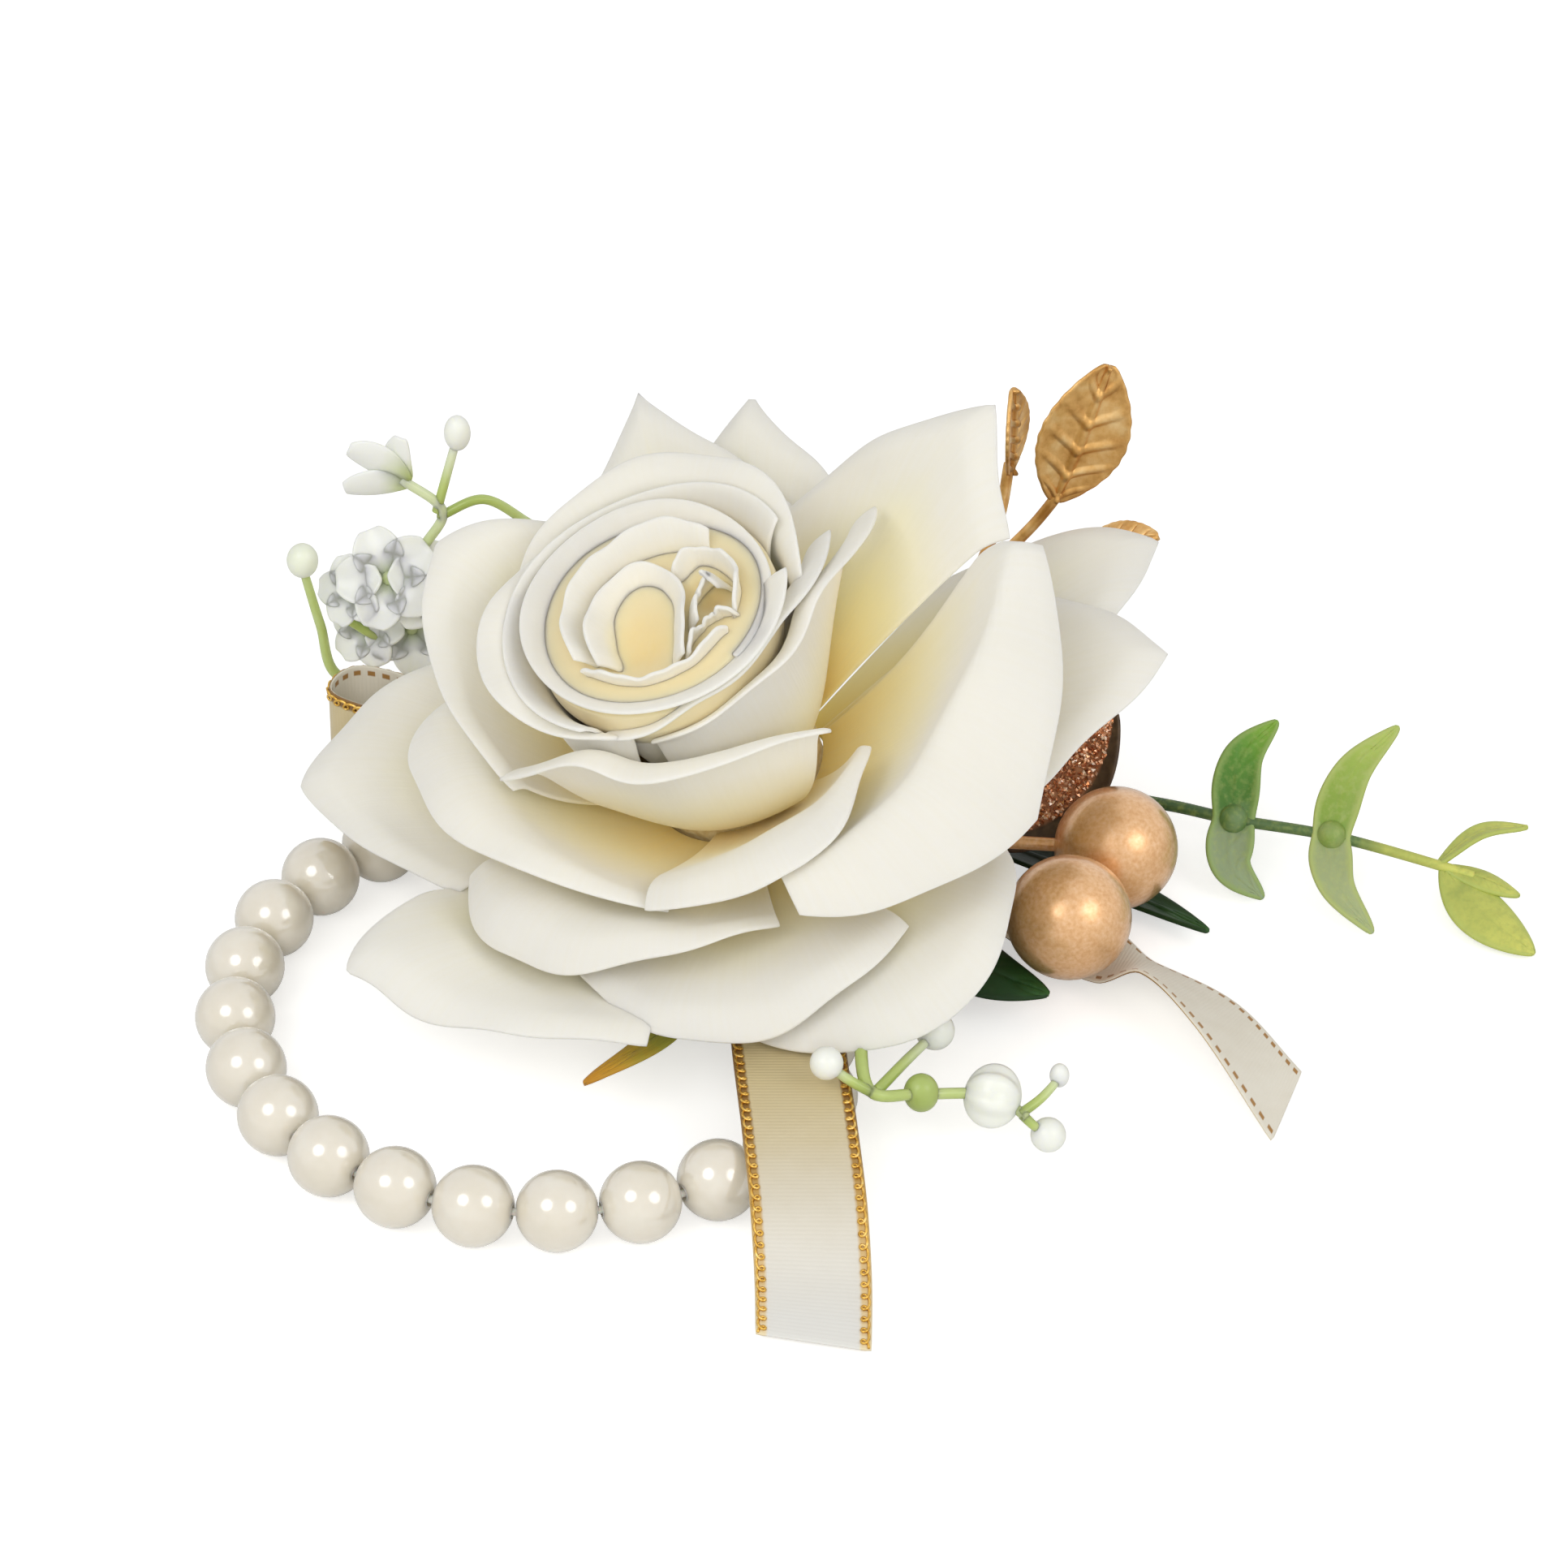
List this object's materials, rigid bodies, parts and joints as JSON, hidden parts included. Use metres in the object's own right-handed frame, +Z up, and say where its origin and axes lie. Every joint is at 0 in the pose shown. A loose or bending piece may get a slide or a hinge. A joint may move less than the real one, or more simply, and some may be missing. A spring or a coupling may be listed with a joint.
{
  "type": "wrist corsage",
  "caption": "Wrist corsage: an open cream rose with gold, green and white trimmings and ribbon tails on a stretch pearl bracelet.",
  "frame": {"origin": "middle of the felt pad's underside, the face that lies on the wrist", "axes": "+Z up out of the flower, +X towards the gold balls and eucalyptus, -Y along the front ribbon tail"},
  "size_m": [0.1316, 0.1021, 0.0531],
  "materials": {
    "petal_cream": "soft matte petal cloth, cream, yellower in the folds",
    "rose_core": "matte foam",
    "calyx_green": "matte green, orange at the sepal tip",
    "pearl_ivory": "glossy ivory pearl coat",
    "elastic": "clear-white stretch cord",
    "felt": "off-white felt",
    "card": "matte off-white",
    "satin_ribbon": "ivory satin with gold thread edges",
    "gold_foil": "antique gold metallic",
    "gold_satin": "champagne gold pearl coat",
    "copper_glitter": "copper glitter with a dark brown back",
    "eucalyptus_green": "satin green, paler at the tips",
    "dark_leaf": "dark green, satin",
    "spray_white_green": "translucent white buds on yellow-green stems"
  },
  "bodies": {
    "flower": {"bud_roll": "petal_cream", "petal_01": "petal_cream", "petal_02": "petal_cream", "petal_03": "petal_cream", "petal_04": "petal_cream", "petal_05": "petal_cream", "petal_06": "petal_cream", "petal_07": "petal_cream", "petal_08": "petal_cream", "petal_09": "petal_cream", "petal_10": "petal_cream", "petal_11": "petal_cream", "petal_12": "petal_cream", "petal_13": "petal_cream", "petal_14": "petal_cream", "petal_15": "petal_cream", "petal_16": "petal_cream", "petal_17": "petal_cream", "petal_18": "petal_cream", "petal_19": "petal_cream", "rose_core": "rose_core", "rose_calyx": "calyx_green", "felt_backing": "felt", "base_disc": "card", "ribbon_bow": "satin_ribbon", "gold_leaf_pick": "gold_foil", "gold_ball_front": "gold_satin", "gold_ball_back": "gold_satin", "glitter_leaf": "copper_glitter", "eucalyptus_stem": "eucalyptus_green", "eucalyptus_pair_inner": "eucalyptus_green", "eucalyptus_pair_outer": "eucalyptus_green", "leaf_right": "dark_leaf", "leaf_front": "dark_leaf", "flower_spray_left": "spray_white_green", "flower_spray_front": "spray_white_green"},
    "bracelet": {"elastic_cord": "elastic"},
    "front_tail": {"ribbon_tail_front": "satin_ribbon"},
    "right_tail": {"ribbon_tail_right": "satin_ribbon"},
    "pearl_01": {"pearl_01": "pearl_ivory"},
    "pearl_02": {"pearl_02": "pearl_ivory"},
    "pearl_03": {"pearl_03": "pearl_ivory"},
    "pearl_04": {"pearl_04": "pearl_ivory"},
    "pearl_05": {"pearl_05": "pearl_ivory"},
    "pearl_06": {"pearl_06": "pearl_ivory"},
    "pearl_07": {"pearl_07": "pearl_ivory"},
    "pearl_08": {"pearl_08": "pearl_ivory"},
    "pearl_09": {"pearl_09": "pearl_ivory"},
    "pearl_10": {"pearl_10": "pearl_ivory"},
    "pearl_11": {"pearl_11": "pearl_ivory"},
    "pearl_12": {"pearl_12": "pearl_ivory"},
    "pearl_13": {"pearl_13": "pearl_ivory"},
    "pearl_14": {"pearl_14": "pearl_ivory"},
    "pearl_15": {"pearl_15": "pearl_ivory"},
    "pearl_16": {"pearl_16": "pearl_ivory"},
    "pearl_17": {"pearl_17": "pearl_ivory"},
    "pearl_18": {"pearl_18": "pearl_ivory"},
    "pearl_19": {"pearl_19": "pearl_ivory"},
    "pearl_20": {"pearl_20": "pearl_ivory"},
    "pearl_21": {"pearl_21": "pearl_ivory"}
  },
  "joints": [
    {"name": "bracelet_swing", "type": "hinge", "parent": "flower", "child": "bracelet", "pos_m": [0.0036, 0, 0.004], "axis": [0, -1, 0], "range_deg": [0, 95]},
    {"name": "front_tail_swing", "type": "hinge", "parent": "flower", "child": "front_tail", "pos_m": [0.0017, -0.0465, 0.00845], "axis": [-1, 0, 0], "range_deg": [-20, 55]},
    {"name": "right_tail_swing", "type": "hinge", "parent": "flower", "child": "right_tail", "pos_m": [0.036, -0.0158, 0.0033], "axis": [-0.2018, -0.8071, 0.5549], "range_deg": [0, 40]},
    {"name": "pearl_01_spin", "type": "hinge", "parent": "bracelet", "child": "pearl_01", "pos_m": [-0.01142, 0.01587, 0.004], "axis": [-0.9848, -0.1736, 0], "continuous": true},
    {"name": "pearl_02_spin", "type": "hinge", "parent": "bracelet", "child": "pearl_02", "pos_m": [-0.01914, 0.01402, 0.004], "axis": [-0.9563, -0.2924, 0], "continuous": true},
    {"name": "pearl_03_spin", "type": "hinge", "parent": "bracelet", "child": "pearl_03", "pos_m": [-0.02657, 0.01124, 0.004], "axis": [-0.9135, -0.4067, 0], "continuous": true},
    {"name": "pearl_04_spin", "type": "hinge", "parent": "bracelet", "child": "pearl_04", "pos_m": [-0.03365, 0.00764, 0.004], "axis": [-0.866, -0.5, 0], "continuous": true},
    {"name": "pearl_05_spin", "type": "hinge", "parent": "bracelet", "child": "pearl_05", "pos_m": [-0.0403, 0.00331, 0.004], "axis": [-0.809, -0.5878, 0], "continuous": true},
    {"name": "pearl_06_spin", "type": "hinge", "parent": "bracelet", "child": "pearl_06", "pos_m": [-0.04604, -0.00209, 0.004], "axis": [-0.6347, -0.7727, 0], "continuous": true},
    {"name": "pearl_07_spin", "type": "hinge", "parent": "bracelet", "child": "pearl_07", "pos_m": [-0.05023, -0.00877, 0.004], "axis": [-0.4195, -0.9078, 0], "continuous": true},
    {"name": "pearl_08_spin", "type": "hinge", "parent": "bracelet", "child": "pearl_08", "pos_m": [-0.0526, -0.01629, 0.004], "axis": [-0.1771, -0.9842, 0], "continuous": true},
    {"name": "pearl_09_spin", "type": "hinge", "parent": "bracelet", "child": "pearl_09", "pos_m": [-0.053, -0.02417, 0.004], "axis": [0.0767, -0.9971, 0], "continuous": true},
    {"name": "pearl_10_spin", "type": "hinge", "parent": "bracelet", "child": "pearl_10", "pos_m": [-0.0514, -0.03189, 0.004], "axis": [0.3256, -0.9455, 0], "continuous": true},
    {"name": "pearl_11_spin", "type": "hinge", "parent": "bracelet", "child": "pearl_11", "pos_m": [-0.04791, -0.03896, 0.004], "axis": [0.5534, -0.8329, 0], "continuous": true},
    {"name": "pearl_12_spin", "type": "hinge", "parent": "bracelet", "child": "pearl_12", "pos_m": [-0.04275, -0.04492, 0.004], "axis": [0.7455, -0.6665, 0], "continuous": true},
    {"name": "pearl_13_spin", "type": "hinge", "parent": "bracelet", "child": "pearl_13", "pos_m": [-0.03625, -0.04939, 0.004], "axis": [0.8894, -0.4571, 0], "continuous": true},
    {"name": "pearl_14_spin", "type": "hinge", "parent": "bracelet", "child": "pearl_14", "pos_m": [-0.02883, -0.05207, 0.004], "axis": [0.9759, -0.2181, 0], "continuous": true},
    {"name": "pearl_15_spin", "type": "hinge", "parent": "bracelet", "child": "pearl_15", "pos_m": [-0.02098, -0.0528, 0.004], "axis": [0.9994, 0.0349, 0], "continuous": true},
    {"name": "pearl_16_spin", "type": "hinge", "parent": "bracelet", "child": "pearl_16", "pos_m": [-0.0132, -0.05153, 0.004], "axis": [0.9583, 0.2857, 0], "continuous": true},
    {"name": "pearl_17_spin", "type": "hinge", "parent": "bracelet", "child": "pearl_17", "pos_m": [-0.00599, -0.04833, 0.004], "axis": [0.8554, 0.518, 0], "continuous": true},
    {"name": "pearl_18_spin", "type": "hinge", "parent": "bracelet", "child": "pearl_18", "pos_m": [0.00018, -0.04342, 0.004], "axis": [0.6972, 0.7169, 0], "continuous": true},
    {"name": "pearl_19_spin", "type": "hinge", "parent": "bracelet", "child": "pearl_19", "pos_m": [0.00337, -0.03605, 0.004], "axis": [0.0454, 0.999, 0], "continuous": true},
    {"name": "pearl_20_spin", "type": "hinge", "parent": "bracelet", "child": "pearl_20", "pos_m": [0.00334, -0.02811, 0.004], "axis": [-0.0523, 0.9986, 0], "continuous": true},
    {"name": "pearl_21_spin", "type": "hinge", "parent": "bracelet", "child": "pearl_21", "pos_m": [0.00286, -0.02017, 0.004], "axis": [-0.0698, 0.9976, 0], "continuous": true}
  ]
}
